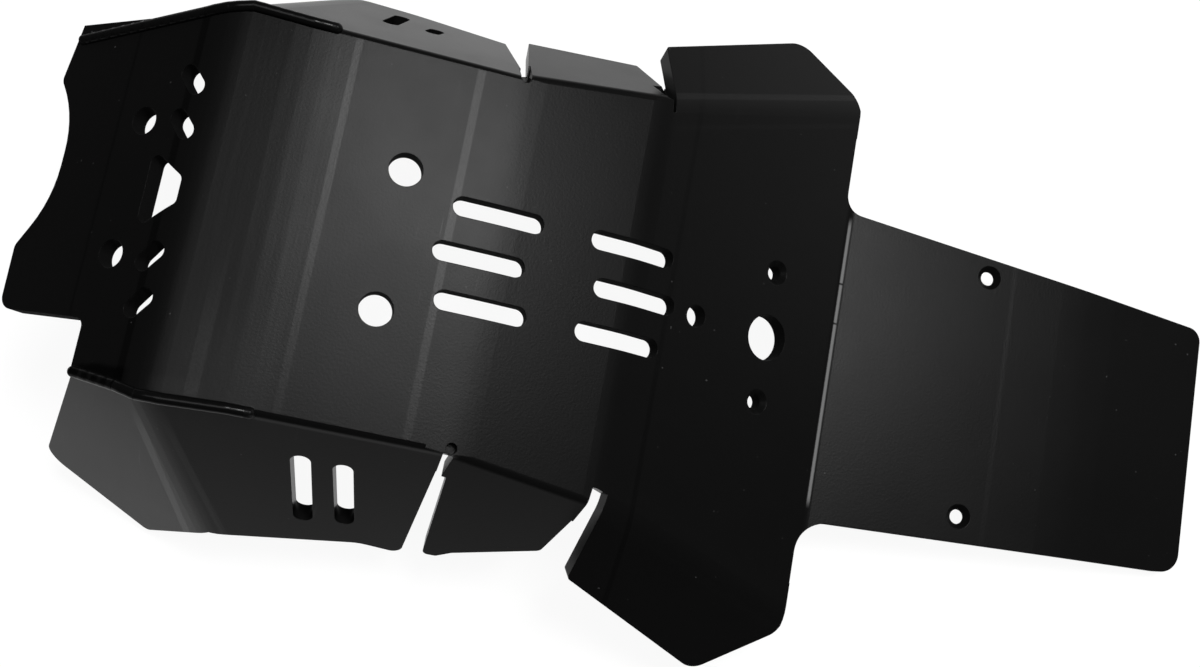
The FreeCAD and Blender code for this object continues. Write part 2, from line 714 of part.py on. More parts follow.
for side, word in ((1, "far"), (-1, "near")):
    near = side < 0

    # Front wing: flat rear part, bend and front part
    wing = new_body(f"front_wing_{word}")
    line = f"sizes.wing_line_{word}"
    lean = f"sizes.wing_lean_{word}"
    bend = f"sizes.wing_bend_{word}"
    low = f"sizes.a_low_bend_{word}"
    start = f"placement(vector(-{line}; {signed(side, 'sizes.fold_a_half')}; 0); "
    turns = [("x", signed(-side, "sizes.fold_a")), ("z", signed(-side, lean))]
    across = start + " * ".join(turned(a, b) for a, b in turns + [("x", "90")]) + ")"
    strip = new_sketch(wing, f"front_wing_section_{word}", across)
    bent(strip, -1, bend, "sizes.wing_round", "sizes.wing_round - sizes.thick",
         "places.far_reach", "places.far_reach")
    pad(wing, strip, "places.strip_reach", both_ways=True)

    flat = new_sketch(wing, f"front_wing_rear_{word}",
                      fold_frame(None, "sizes.fold_a_half", side, fold="sizes.fold_a"))

    corners = [(on_bend(line, lean, low), signed(side, low), None)]
    if near:
        corners += [
            ("sizes.a_lobe_near_u", signed(side, "sizes.a_lobe_near_v"),
             "sizes.a_lobe_near_round"),
            ("sizes.a_rear_low", signed(side, "sizes.a_low_near"),
             "sizes.a_corner_near_round"),
        ]
    else:
        corners += [
            ("sizes.a_lobe_far_u", "sizes.a_lobe_far_v", "sizes.a_lobe_far_round"),
            ("sizes.a_rear_low", "sizes.a_low_far", "sizes.a_corner_far_round"),
        ]
    corners += [
        (f"sizes.a_rear_top_{word}", signed(side, "sizes.thick"), None),
        ("-sizes.bead_rear - sizes.thick", signed(side, "sizes.thick"), None),
        ("-sizes.bead_rear - sizes.thick", signed(side, "-2 * sizes.thick"), None),
        (on_bend(line, lean, "-2 * sizes.thick"), signed(side, "-2 * sizes.thick"), None),
        (on_bend(line, lean, "-places.far_reach"), signed(side, "-places.far_reach"), None),
        ("2 * places.far_reach", signed(side, "-places.far_reach"), None),
        ("2 * places.far_reach", signed(side, "places.far_reach"), None),
        (on_bend(line, lean, "places.far_reach"), signed(side, "places.far_reach"), None),
    ]
    outline(flat, corners)
    pocket(wing, flat, "places.far_reach")

    ahead = start + " * ".join(
        turned(a, b) for a, b in turns + [("y", f"-{bend}")]) + ")"
    tip = new_sketch(wing, f"front_wing_front_{word}", ahead)
    outline(tip, [
        ("0 * sizes.thick", signed(side, f"{low} / cos({lean} * 1deg)"), None),
        ("-sizes.f_tip_u", signed(side, "sizes.f_tip_v"), "sizes.f_tip_round"),
        ("-sizes.f_front_u", signed(side, "sizes.f_front_v"), "sizes.f_front_round"),
        (f"-sizes.f_top_{word}_u", signed(side, "-2 * sizes.thick"), None),
        ("0 * sizes.thick", signed(side, "-2 * sizes.thick"), None),
        ("0 * sizes.thick", signed(side, "-places.far_reach"), None),
        ("-2 * places.far_reach", signed(side, "-places.far_reach"), None),
        ("-2 * places.far_reach", signed(side, "places.far_reach"), None),
        ("0 * sizes.thick", signed(side, "places.far_reach"), None),
    ])
    pocket(wing, tip, "places.far_reach")

    fold = new_sketch(
        wing, f"front_fold_{word}",
        f"placement(vector(-sizes.bead_rear - sizes.thick; {signed(side, 'sizes.fold_a_half')};"
        f" 0); {turned('z', '90')} * {turned('x', '90')})")
    bent(fold, side, "sizes.fold_a", "sizes.tight_round", None, "sizes.arm", "sizes.arm")
    pad(wing, fold, f"sizes.a_rear_top_{word} + sizes.bead_rear + sizes.thick")

    openings = new_sketch(wing, f"front_wing_slots_{word}",
                          fold_frame(None, "sizes.fold_a_half", side, fold="sizes.fold_a"))
    if near:
        slot(openings,
             ("sizes.a_slot_one_top_u", signed(side, "sizes.a_slot_one_top_v")),
             ("sizes.a_slot_one_low_u", signed(side, "sizes.a_slot_one_low_v")),
             "sizes.a_slot_round")
        slot(openings,
             ("sizes.a_slot_two_top_u", signed(side, "sizes.a_slot_two_top_v")),
             ("sizes.a_slot_two_low_u", signed(side, "sizes.a_slot_two_low_v")),
             "sizes.a_slot_round")
    else:
        slot(openings, ("sizes.a_far_slot_top_u", "sizes.a_far_slot_top_v"),
             ("sizes.a_far_slot_low_u", "sizes.a_far_slot_low_v"), "sizes.a_far_slot_round")
        slot(openings, ("sizes.a_oval_top_u", "sizes.a_oval_top_v"),
             ("sizes.a_oval_low_u", "sizes.a_oval_low_v"), "sizes.a_oval_round")
    pocket(wing, openings, "4 * sizes.thick")
    wings.append(wing)

    # Middle wing: flat plate under a tight fold
    wing = new_body(f"middle_wing_{word}")
    plan = new_sketch(wing, f"middle_wing_outline_{word}",
                      fold_frame("ramp", "sizes.fold_b_front_half", side,
                                 "places.fold_b_turn", "sizes.fold_b"))
    corners = [("sizes.b_front_top", signed(side, "sizes.thick"), None)]
    if near:
        rear = "sizes.b_rear_near"
        corners += [
            ("sizes.b_front_near_u", signed(side, "sizes.b_front_near_v"),
             "sizes.b_lobe_round"),
            ("sizes.b_lobe_near_u", signed(side, "sizes.b_lobe_near_v"),
             "sizes.b_lobe_round"),
            ("sizes.b_step_near_u", signed(side, "sizes.b_step_near_v"), None),
            ("sizes.b_low_near_u", signed(side, "sizes.b_low_near_v"),
             "sizes.b_low_near_round"),
        ]
    else:
        rear = "sizes.b_rear_far"
        corners += [
            ("sizes.b_front_far_u", "sizes.b_front_far_v", "sizes.b_corner_far_round"),
            ("sizes.b_low_far_u", "sizes.b_low_far_v", "sizes.b_corner_far_round"),
        ]
    corners += [(rear, signed(side, "sizes.thick"), None)]
    outline(plan, corners)
    pad(wing, plan, "sizes.thick", backwards=True)
    fold = new_sketch(wing, f"middle_fold_{word}",
                      fold_frame("ramp", "sizes.fold_b_front_half", side,
                                 "places.fold_b_turn", more=ACROSS))
    bent(fold, side, "sizes.fold_b", "sizes.tight_round", None, "sizes.arm", "sizes.arm")
    pad(wing, fold, rear)
    wings.append(wing)

    # Rear wing: soft fold, trimmed in its own plane
    wing = new_body(f"rear_wing_{word}")
    strip = new_sketch(wing, f"rear_fold_{word}",
                       fold_frame("fold_c", "sizes.fold_c_front_half", side,
                                  "places.fold_c_turn", more=ACROSS))
    bent(strip, side, "sizes.fold_c", "sizes.soft_round", "places.soft_inside",
         "sizes.arm", "sizes.fold_a_half")
    pad(wing, strip, "places.strip_reach", both_ways=True)
    plan = new_sketch(wing, f"rear_wing_outline_{word}",
                      fold_frame("fold_c", "sizes.fold_c_front_half", side,
                                 "places.fold_c_turn", "sizes.fold_c"))
    outline(plan, [
        (f"-sizes.c_front_top_{word}_u", signed(side, "-2 * sizes.arm"), None),
        (f"sizes.c_front_{word}_u", signed(side, f"sizes.c_front_{word}_v"),
         "sizes.c_front_round"),
        (f"sizes.c_low_{word}_u", signed(side, f"sizes.c_low_{word}_v"), "sizes.c_low_round"),
        (f"sizes.c_rear_{word}_u", signed(side, "sizes.c_rear_v"), "sizes.c_rear_round"),
        (f"sizes.c_rear_{word}_u", signed(side, "-sizes.thick"), None),
        ("2 * places.strip_reach", signed(side, "-sizes.thick"), None),
        ("2 * places.strip_reach", signed(side, "places.far_reach"), None),
        ("-2 * places.strip_reach", signed(side, "places.far_reach"), None),
        ("-2 * places.strip_reach", signed(side, "-2 * sizes.arm"), None),
    ])
    pocket(wing, plan, "places.far_reach")
    wings.append(wing)

# Web left under the relief pit between the near front and middle wings
web = new_body("web_near")
patch = new_sketch(web, "web_outline")
outline(patch, [
    ("sizes.a_rear_top_near - sizes.thick", "-sizes.fold_a_half + sizes.arm", None),
    ("sizes.belly_rear + sizes.thick", "-sizes.fold_a_half + sizes.arm", None),
    ("sizes.belly_rear + sizes.thick", "-sizes.fold_a_half", None),
    ("sizes.belly_rear", "-sizes.web_half", None),
    ("sizes.a_rear_top_near", "-sizes.web_half", None),
    ("sizes.a_rear_top_near - sizes.thick", "-sizes.fold_a_half", None),
])
pad(web, patch, "sizes.thick", backwards=True)
wings.append(web)

# Wings cut flush with the sheet's outer face
over = new_body("space_over")
cover = new_sketch(over, "space_section", role="XZ_Plane")
outline(cover, OUTER + [
    ("places.end_x", "2 * places.far_reach", None),
    ("places.start_x", "2 * places.far_reach", None),
])
pad(over, cover, "6 * places.far_reach", both_ways=True)
doc.recompute()


def joined(name, pieces):
    """Fuse pieces into one solid."""
    feature = doc.addObject("Part::MultiFuse", name)
    feature.Shapes = pieces
    feature.Refine = True
    return feature


def cut(name, base, tool):
    """Cut a tool out of a base."""
    feature = doc.addObject("Part::Cut", name)
    feature.Base = base
    feature.Tool = tool
    feature.Refine = True
    return feature


flush = [cut(wing.Name + "_flush", wing, over) for wing in wings]

# Weld beads along the front corners: rods between balls on the corner line
place("bead_run", "sizes.nose_round * tan(sizes.nose_bend / 2 * 1deg)")
place("bead_dip", "sizes.nose_round * (1 / cos(sizes.nose_bend / 2 * 1deg) - 1)")
place("bead_mean", "(head_nose + head_lead) / 2")
beads = []
for side, word in ((1, "far"), (-1, "near")):
    bend = f"(sizes.wing_bend_{word} * 1deg)"
    lean = f"(sizes.wing_lean_{word} * 1deg)"
    place(f"face_{word}_x", f"-sin{bend} * cos{lean}")
    place(f"face_{word}_y", f"cos{bend} * sin(sizes.fold_a * 1deg)"
          f" + sin{bend} * sin{lean} * cos(sizes.fold_a * 1deg)")
    place(f"face_{word}_z", f"cos{bend} * cos(sizes.fold_a * 1deg)"
          f" - sin{bend} * sin{lean} * sin(sizes.fold_a * 1deg)")
    pieces = []
    corner = "sizes.front_corner_far" if side > 0 else "sizes.notch"
    length = f"({corner} - sizes.bead_setback)"
    path = [
        ("-sizes.bead_rear", "0 * sizes.bead_rear", False),
        ("lead_x", "lead_z", False),
        ("nose_x + bead_run * cos(head_lead * 1deg)",
         "nose_z + bead_run * sin(head_lead * 1deg)", False),
        ("nose_x + bead_dip * sin(bead_mean * 1deg)",
         "nose_z - bead_dip * cos(bead_mean * 1deg)", True),
        ("nose_x - bead_run * cos(head_nose * 1deg)",
         "nose_z - bead_run * sin(head_nose * 1deg)", True),
        (f"nose_x - {length} * cos(head_nose * 1deg)",
         f"nose_z - {length} * sin(head_nose * 1deg)", True),
    ]
    for i, (along, height, ahead) in enumerate(path):
        tag = f"bead_{word}_{i}"
        place(f"{tag}_px", along)
        place(f"{tag}_pz", height)
        out = f"{tag}_pz / tan(sizes.fold_a * 1deg)"
        if ahead:
            out = (f"(face_{word}_x * ({tag}_px + sizes.wing_line_{word})"
                   f" + face_{word}_z * {tag}_pz) / face_{word}_y")
        place(f"{tag}_py", signed(side, f"sizes.fold_a_half - {out}"))
        ball = doc.addObject("Part::Sphere", f"{tag}_ball")
        ball.setExpression("Radius", "1.02 * sizes.bead_round")
        ball.setExpression("Placement", f"placement(vector(places.{tag}_px; places.{tag}_py;"
                           f" places.{tag}_pz); {turned('z', '7')})")
        pieces.append(ball)
        if not i:
            continue
        last = f"bead_{word}_{i - 1}"
        for axis in "xyz":
            place(f"{tag}_d{axis}", f"{last}_p{axis} - {tag}_p{axis}")
        place(f"{tag}_run", f"sqrt({tag}_dx ^ 2 + {tag}_dy ^ 2 + {tag}_dz ^ 2)")
        place(f"{tag}_yaw", f"atan({tag}_dy / {tag}_dx) / 1deg")
        place(f"{tag}_fall", f"acos({tag}_dz / {tag}_run) / 1deg")
        rod = doc.addObject("Part::Cylinder", f"{tag}_rod")
        rod.setExpression("Radius", "sizes.bead_round")
        rod.setExpression("Height", f"places.{tag}_run")
        rod.setExpression("Placement", f"placement(vector(places.{tag}_px; places.{tag}_py;"
                          f" places.{tag}_pz); {turned('z', f'places.{tag}_yaw')}"
                          f" * {turned('y', f'places.{tag}_fall')})")
        pieces.append(rod)
    beads.append(joined(f"bead_{word}", pieces))

folded = joined("folded", [sheet] + flush)
welded = joined("welded", [folded] + beads)
doc.recompute()

# Whole plate: reliefs between the wings and the rear edge beside the tail
plate = new_body("skid_plate")
plate.BaseFeature = welded
relief = new_sketch(plate, "relief_front_far")
slot(relief, ("sizes.relief_ab_far", "sizes.relief_ab_far_half"),
     ("sizes.relief_ab_far", "sizes.relief_ab_far_half + 2 * sizes.thick"), "sizes.relief_round")
pocket(plate, relief, "4 * sizes.thick")
relief = new_sketch(plate, "relief_front_near")
hole(relief, "sizes.relief_ab_near", "-sizes.relief_ab_near_half", "sizes.relief_round")
pocket(plate, relief, "sizes.pit_depth", both_ways=False)
relief = new_sketch(plate, "reliefs_rear", panel_frame("kick"))
for side, word in ((1, "far"), (-1, "near")):
    half = f"sizes.relief_bc_{word}_half"
    slot(relief, (f"sizes.relief_bc_{word}", signed(side, half)),
         (f"sizes.relief_bc_{word}", signed(side, f"{half} + 2 * sizes.thick")),
         "sizes.relief_round")
pocket(plate, relief, "4 * sizes.thick")
rear = "sizes.kick_length - sizes.tail_root"
for side, word in ((1, "far"), (-1, "near")):
    edge = new_sketch(plate, f"rear_edge_{word}", panel_frame("kick"))
    root = f"sizes.tail_root_{word} + sizes.tail_root_{word}_round"
    outline(edge, [
        (rear, signed(side, root), None),
        (f"{rear} + places.far_reach", signed(side, root), None),
        (f"{rear} + places.far_reach", signed(side, "places.far_reach"), None),
        (rear, signed(side, "places.far_reach"), None),
    ])
    pocket(plate, edge)
doc.recompute()
plate.Label = "skid_plate"


def resting_pitch(shape):
    """Return the turn about Y, in degrees, that lays the shape on its lowest points."""
    points = shape.tessellate(0.5)[0]
    middle = shape.Solids[0].CenterOfMass
    best = None
    for k in range(-300, 301):
        angle = math.radians(k / 10)
        low = min(p.z * math.cos(angle) - p.x * math.sin(angle) for p in points)
        height = middle.z * math.cos(angle) - middle.x * math.sin(angle) - low
        if best is None or height < best[0]:
            best = (height, k / 10)
    return best[1]


pitch = resting_pitch(plate.Shape)
plate.Placement = Placement(Vector(0, 0, 0), Rotation(Vector(0, 1, 0), pitch))
box = plate.Shape.BoundBox
plate.Placement = Placement(
    Vector(-(box.XMin + box.XMax) / 2, -(box.YMin + box.YMax) / 2, -box.ZMin),
    Rotation(Vector(0, 1, 0), pitch))
doc.recompute()

bad = [item.Name for item in doc.Objects
       if "Invalid" in item.State or "Error" in item.State]
if bad:
    raise RuntimeError(f"not built: {bad}")
shape = plate.Shape
if shape.isNull() or not shape.isValid() or len(shape.Solids) != 1:
    raise RuntimeError("skid_plate isn't one valid solid")
shape.Solids[0].exportStep("parts/skid_plate.step")
print("resting pitch", pitch, "degrees, volume", round(shape.Volume / 1000), "cm3")
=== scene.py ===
# %% [markdown]
# # A skid plate of black polyethylene sheet
#
# The part is one 8 mm sheet of high-density polyethylene, bent hot into a tray that hangs under an
# engine. It lies here with its ground-facing side up, on its wing tips and the end of its tail.
# The CAD model already has its true shape, so this scene gives it the light, the camera and the
# finish, and the one surface that the solid leaves plain, the wavy skin of the two weld beads.

import math

import bpy
import numpy as np
from mathutils import Matrix, Vector


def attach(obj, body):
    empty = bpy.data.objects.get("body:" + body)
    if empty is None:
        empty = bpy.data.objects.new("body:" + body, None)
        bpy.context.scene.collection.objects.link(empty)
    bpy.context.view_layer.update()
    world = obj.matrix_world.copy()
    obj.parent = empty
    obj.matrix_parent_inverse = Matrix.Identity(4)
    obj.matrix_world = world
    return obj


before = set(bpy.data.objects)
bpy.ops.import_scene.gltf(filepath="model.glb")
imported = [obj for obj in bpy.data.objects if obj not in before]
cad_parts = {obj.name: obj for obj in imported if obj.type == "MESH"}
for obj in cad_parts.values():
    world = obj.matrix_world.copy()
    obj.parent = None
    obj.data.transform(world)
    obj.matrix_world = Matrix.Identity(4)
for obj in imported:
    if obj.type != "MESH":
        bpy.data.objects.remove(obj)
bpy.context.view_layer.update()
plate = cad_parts["skid_plate"]

# %% [markdown]
# ## Camera
#
# The photograph looks down at the tray from about 0.65 m, a little to the near side of its
# middle. A camera can be aimed at a target with a constraint, but then its roll has to be found
# by trial. Here its place and turn were worked out from the holes and corners of the plate, whose
# distances are known, so they are written as plain numbers.

# %% Place the camera
camera_data = bpy.data.cameras.new("studio_camera")
camera_data.sensor_width = 36.0
camera_data.lens = 39.27
camera = bpy.data.objects.new("studio_camera", camera_data)
camera.location = (-0.01600, -0.11926, 0.65596)
camera.rotation_euler = [math.radians(a) for a in (9.9628, -1.1459, 10.2135)]
bpy.context.scene.collection.objects.link(camera)
bpy.context.scene.camera = camera
bpy.context.scene.view_settings.view_transform = "Standard"
print("camera height in mm", round(1000 * camera.location.z, 1))

# %% [markdown]
# ## Colours
#
# Paint shops and screens give a colour as six hex digits, which are stored on a curve that suits
# the eye. Light adds up on a straight scale, so each colour goes through one function first.


# %% Turn hex colours into light
def linear(hex_digits):
    """An sRGB channel c becomes c / 12.92 up to 0.04045, else ((c + 0.055) / 1.055) ** 2.4."""
    c = np.array([int(hex_digits[i : i + 2], 16) for i in (0, 2, 4)]) / 255
    straight = np.where(c <= 0.04045, c / 12.92, ((c + 0.055) / 1.055) ** 2.4)
    return (*straight.tolist(), 1.0)


# %% [markdown]
# ## Nodes
#
# A material is a graph of nodes. Written out in full it takes three lines a node, so one small
# function adds a node, sets its fields and sockets, and joins what is linked to it.


# %% Add a node with its settings and links
def add(tree, kind, sockets=(), **fields):
    """Makes a node of that kind. A socket takes a number, a colour, an output or a whole node.

    A whole node stands for its first output that is in use.
    """
    node = tree.nodes.new(kind)
    for name, value in fields.items():
        setattr(node, name, value)
    for name, value in dict(sockets).items():
        if isinstance(value, bpy.types.Node):
            value = next(output for output in value.outputs if output.enabled)
        if isinstance(value, bpy.types.NodeSocket):
            tree.links.new(value, node.inputs[name])
        else:
            node.inputs[name].default_value = value
    return node


# %% [markdown]
# ## Floor
#
# A product picture of a black part needs a white ground, so that its outline and its holes read.
# More lamps would whiten matt card, but they would grey the black plastic as well. So the card is
# mixed with a white glow that only the eye, a gloss or a glass sees, through the Light Path node.
# The card under it stays a plain diffuse surface, so the plate's soft shadow is kept on it.

# %% Lay the floor
FLOOR_HALF = 12.0
corners = FLOOR_HALF * np.array([(-1, -1, 0), (1, -1, 0), (1, 1, 0), (-1, 1, 0)], float)
floor_mesh = bpy.data.meshes.new("studio_floor")
floor_mesh.from_pydata(corners.tolist(), [], [(0, 1, 2, 3)])
floor = bpy.data.objects.new("studio_floor", floor_mesh)
bpy.context.scene.collection.objects.link(floor)
print("floor is", 2 * FLOOR_HALF, "m wide")

# %% Cover it with matt card
GLOW_SHARE = 0.93
matt_card = bpy.data.materials.new("matt_white_card")
matt_card.use_nodes = True
card = matt_card.node_tree
card.nodes.clear()
card_surface = add(card, "ShaderNodeBsdfDiffuse", {"Color": linear("f4f4f4"), "Roughness": 0.6})
card_glow = add(card, "ShaderNodeEmission", {"Color": linear("ffffff"), "Strength": 1.0})
seen = add(card, "ShaderNodeLightPath").outputs
eye = seen["Is Camera Ray"]
for other in ("Is Glossy Ray", "Is Transmission Ray"):
    eye = add(card, "ShaderNodeMath", {0: eye, 1: seen[other]}, operation="ADD")
share = add(card, "ShaderNodeMapRange", {"Value": eye, "To Max": GLOW_SHARE})
card_mix = add(card, "ShaderNodeMixShader", {0: share, 1: card_surface, 2: card_glow})
add(card, "ShaderNodeOutputMaterial", {"Surface": card_mix})
floor_mesh.materials.append(matt_card)
print("the eye sees", GLOW_SHARE, "glow and the rest card")

# %% [markdown]
# ## Light
#
# Black plastic shows almost nothing of its own colour: what the eye reads is the reflection of
# the lamps. One lamp over the tray would leave all its bends black, and an even white tent would
# make it flat grey. So a main softbox stands where the belly mirrors it, a weak one overhead
# draws the bend at the nose, and a wide weak one at the far right, low as a window, lifts the
# kick panel and the rear wings. Each hangs 4 m away, in the direction that is given with it. A
# low even light from the room keeps the shaded sides from going fully black.

# %% Hang the softboxes
LAMP_DISTANCE = 4.0


def hang(name, direction, width, depth, radiance):
    """A box lamp of radiance L and area A is given L * pi * A watts, and it faces the origin."""
    data = bpy.data.lights.new(name, "AREA")
    data.shape = "RECTANGLE"
    data.size = width
    data.size_y = depth
    data.energy = radiance * math.pi * width * depth
    toward = Vector(direction).normalized()
    lamp = bpy.data.objects.new(name, data)
    lamp.location = toward * LAMP_DISTANCE
    lamp.rotation_euler = toward.to_track_quat("Z", "Y").to_euler()
    bpy.context.scene.collection.objects.link(lamp)
    level = radiance * width * depth / LAMP_DISTANCE**2 * toward.z / math.pi
    print(name, "lights a level white surface to", round(level, 2))


hang("softbox_main", (0.26, 0.27, 0.93), 1.35, 1.05, 46.0)
hang("softbox_overhead", (-0.10, 0.05, 0.99), 1.60, 1.60, 4.8)
hang("softbox_side", (0.74, 0.62, 0.26), 4.00, 2.00, 1.8)

# %% Fill the room with a low even light
ROOM_STRENGTH = 0.10
room = bpy.data.worlds.new("studio_room")
room.use_nodes = True
room_tree = room.node_tree
room_tree.nodes.clear()
even = {"Color": linear("ffffff"), "Strength": ROOM_STRENGTH}
room_light = add(room_tree, "ShaderNodeBackground", even)
add(room_tree, "ShaderNodeOutputWorld", {"Surface": room_light})
bpy.context.scene.world = room
print("room light is", ROOM_STRENGTH)

# %% [markdown]
# ## Where the marks lie
#
# The plate lies on its wing tips, tilted by its own shape, but every mark on it follows the tray:
# the bends and the bars of the bending machine run straight across it. A pattern could be placed
# with a UV map, but a bent sheet with folded sides has many seams. So the pattern uses the Object
# coordinates, turned back into the frame of the flat belly: x runs along the tray from the line
# of its two big holes, y across it, and z out of the belly.

# %% Turn the plate's coordinates into the tray's
TRAY_PITCH = math.radians(12.6)
TRAY_ORIGIN = Vector((-0.115561, -0.00036, 0.120052))
into_tray = Matrix.Rotation(-TRAY_PITCH, 3, "Y")


def tray_axes(tree):
    """Tray point = turn by minus the pitch of (object point - tray origin)."""
    point = add(tree, "ShaderNodeTexCoord").outputs["Object"]
    turn, shift = (0.0, -TRAY_PITCH, 0.0), -(into_tray @ TRAY_ORIGIN)
    placing = {"Vector": point, "Location": shift, "Rotation": turn}
    turned = add(tree, "ShaderNodeMapping", placing)
    return turned, add(tree, "ShaderNodeSeparateXYZ", {"Vector": turned}).outputs


# %% [markdown]
# ## Bands across the sheet
#
# Where the hot bar or the clamp of the bending machine pressed, the sheet is glossier or duller
# in a band across the tray, 1 to 6 mm wide. A colour ramp along the tray could hold them all, but
# a ramp is kept as 256 steps, which is over 2 mm a step on a part this long. So each band is a
# small hill: the distance from its centre, eased from 1 to 0 at its edge.

# %% Draw bands as hills of a few millimetres
EDGE_SOFTNESS = 0.0004
SMOOTH = {"interpolation_type": "SMOOTHSTEP"}


def distance(tree, value, centre):
    """|value - centre|."""
    away = add(tree, "ShaderNodeMath", {0: value, 1: centre}, operation="SUBTRACT")
    return add(tree, "ShaderNodeMath", {0: away}, operation="ABSOLUTE")


def hills(tree, along, bands):
    """The sum of one hill for each (centre, width, height), with the first two in mm."""
    total = 0.0
    for centre, width, height in bands:
        away = distance(tree, along, centre / 1000)
        foot, brow = width / 2000 + EDGE_SOFTNESS, width / 2000 - EDGE_SOFTNESS
        slope = {"Value": away, "From Min": foot, "From Max": brow, "To Max": height}
        hill = add(tree, "ShaderNodeMapRange", slope, **SMOOTH)
        total = add(tree, "ShaderNodeMath", {0: hill, 1: total}, operation="ADD")
    return total


# %% [markdown]
# Most marks cover only a part of the sheet. A mask for that could be painted, but then it has a
# resolution. Here a region is worked out from limits, each a measure with the place where the
# mark starts and the place, a few millimetres on, where it is whole.

# %% Lay marks inside a region
def region(tree, *limits):
    """The product of all (value, start, end), each 0 at its start, 1 at its end, eased between."""
    inside = 1.0
    for value, start, end in limits:
        slope = {"Value": value, "From Min": start, "From Max": end}
        step = add(tree, "ShaderNodeMapRange", slope, **SMOOTH)
        inside = add(tree, "ShaderNodeMath", {0: step, 1: inside}, operation="MULTIPLY")
    return inside


def lay(tree, under, marks, *limits):
    """under + marks x the region inside the limits."""
    laid = {0: marks, 1: region(tree, *limits), 2: under}
    return add(tree, "ShaderNodeMath", laid, operation="MULTIPLY_ADD")


# %% [markdown]
# ## Black polyethylene sheet
#
# The sheet is extruded between polished rolls, so it has a satin face with a very fine orange
# peel, and carbon black through its whole depth. Its colour is nearly black, also on the sawn
# edges, and most of what varies is the gloss. The base is one Principled shader. The index of
# polyethylene is 1.54, but over this white floor such a mirror comes out too bright. The index was
# matched to the photograph, where the mirror is faint from above and strong at a grazing angle.

# %% Start the polyethylene and read its coordinates
hdpe = bpy.data.materials.new("hdpe_sheet_hot_bent_satin")
hdpe.use_nodes = True
sheet = hdpe.node_tree
sheet.nodes.clear()
tray_point, tray = tray_axes(sheet)
from_middle = distance(sheet, tray["Y"], 0.0)
print("the tray is pitched by", round(math.degrees(TRAY_PITCH), 1), "degrees")

# %% [markdown]
# Every hole and edge was broken with a scraper after sawing, by about half a millimetre, and these
# tiny rounds catch the light as thin bright rims. Bevelling the solid itself would add thousands
# of faces. The Bevel node bends only the shading near an edge, so it costs nothing in the mesh.

# %% Break the edges in the shading
EDGE_BREAK = 0.0005
broken = add(sheet, "ShaderNodeBevel", {"Radius": EDGE_BREAK}, samples=6)

# %% [markdown]
# The peel is a noise of about a millimetre over the whole sheet. In the nose bend the hot skin was
# stretched, which left streaks a few millimetres wide that run across the tray. Both are bumps at
# their real size, the one laid on the other.

# %% Add the streaks and the peel
PEEL_PER_M, PEEL_DEPTH = 1 / 0.0011, 0.000034
STREAKS_PER_M, STREAKS_ALONG_PER_M, STREAK_DEPTH = 230.0, 7.0, 0.00007
STREAKS_ELSEWHERE = 0.06
BEND_MIDDLE, BEND_FADE = -0.055, (0.034, 0.014)
grain = {"Vector": tray_point, "Scale": PEEL_PER_M, "Detail": 2.0, "Roughness": 0.6}
peel = add(sheet, "ShaderNodeTexNoise", grain)
along_bend = (STREAKS_PER_M, STREAKS_ALONG_PER_M, STREAKS_ALONG_PER_M)
drawn = add(sheet, "ShaderNodeMapping", {"Vector": tray_point, "Scale": along_bend})
streak = add(sheet, "ShaderNodeTexNoise", {"Vector": drawn, "Scale": 1.0, "Detail": 3.0})
in_bend = (distance(sheet, tray["X"], BEND_MIDDLE), *BEND_FADE)
strength = lay(sheet, STREAKS_ELSEWHERE, 1 - STREAKS_ELSEWHERE, in_bend)
ripple = add(sheet, "ShaderNodeMath", {0: streak, 1: strength}, operation="MULTIPLY")
streaks = {"Height": ripple, "Strength": 1.0, "Distance": STREAK_DEPTH, "Normal": broken}
streaked = add(sheet, "ShaderNodeBump", streaks)
peeled = {"Height": peel, "Strength": 1.0, "Distance": PEEL_DEPTH, "Normal": streaked}
relief = add(sheet, "ShaderNodeBump", peeled)
print("peel every", round(1000 / PEEL_PER_M, 1), "mm")
print("streaks every", round(1000 / STREAKS_PER_M, 1), "mm")

# %% [markdown]
# ## Press marks
#
# Two bright bands cross the belly, one crosses the tail, and a wider one fades in on the near half
# of the nose bend. They are not paler plastic but shinier plastic, so they get a second gloss
# layer, the coat, whose weight the hills set. They end at the folds. The dark lines at the foot of
# the nose panel and on the kick panel are painted shade: a blacker base that stands in for the
# shade in thin grooves.

# %% Lay the shiny bands and the painted groove shade
FOLD_LINE = 0.0834
PRESS_BANDS = [(-30.2, 3.2, 0.65), (23.2, 3.5, 0.6), (304.0, 2.4, 0.9)]
NOSE_BAND = [(-64.6, 5.6, 0.8)]
NOSE_BAND_FADE = (-0.005, -0.065)
# Painted shade: these dark lines get a blacker base in place of the shade in thin grooves.
GROOVE_SHADE_LINES = [(-121.0, 1.0, 0.35), (-93.8, 3.0, 0.5), (126.0, 2.4, 0.3)]
on_tray = (from_middle, FOLD_LINE, FOLD_LINE - 0.003)
near_half = (tray["Y"], *NOSE_BAND_FADE)
coat = lay(sheet, 0.0, hills(sheet, tray["X"], PRESS_BANDS), on_tray)
coat = lay(sheet, coat, hills(sheet, tray["X"], NOSE_BAND), on_tray, near_half)
groove_shade_and_stain = hills(sheet, tray["X"], GROOVE_SHADE_LINES)
print("press bands at", [band[0] for band in PRESS_BANDS + NOSE_BAND], "mm along the tray")

# %% [markdown]
# The near front wing was pressed too, along two lines that lean with its own bend. A leaning line
# is a hill over x + k z instead of x alone.

# %% Lay the two leaning lines on the near front wing
WING_ROOT = (-0.088, -0.100)
LEANING_LINES = [(0.305, (-92.1, 4.5, 0.45)), (0.42, (-79.9, 3.5, 0.4))]
for lean, band in LEANING_LINES:
    sum_of = {0: tray["Z"], 1: lean, 2: tray["X"]}
    leaning = add(sheet, "ShaderNodeMath", sum_of, operation="MULTIPLY_ADD")
    coat = lay(sheet, coat, hills(sheet, leaning, [band]), (tray["Y"], *WING_ROOT))

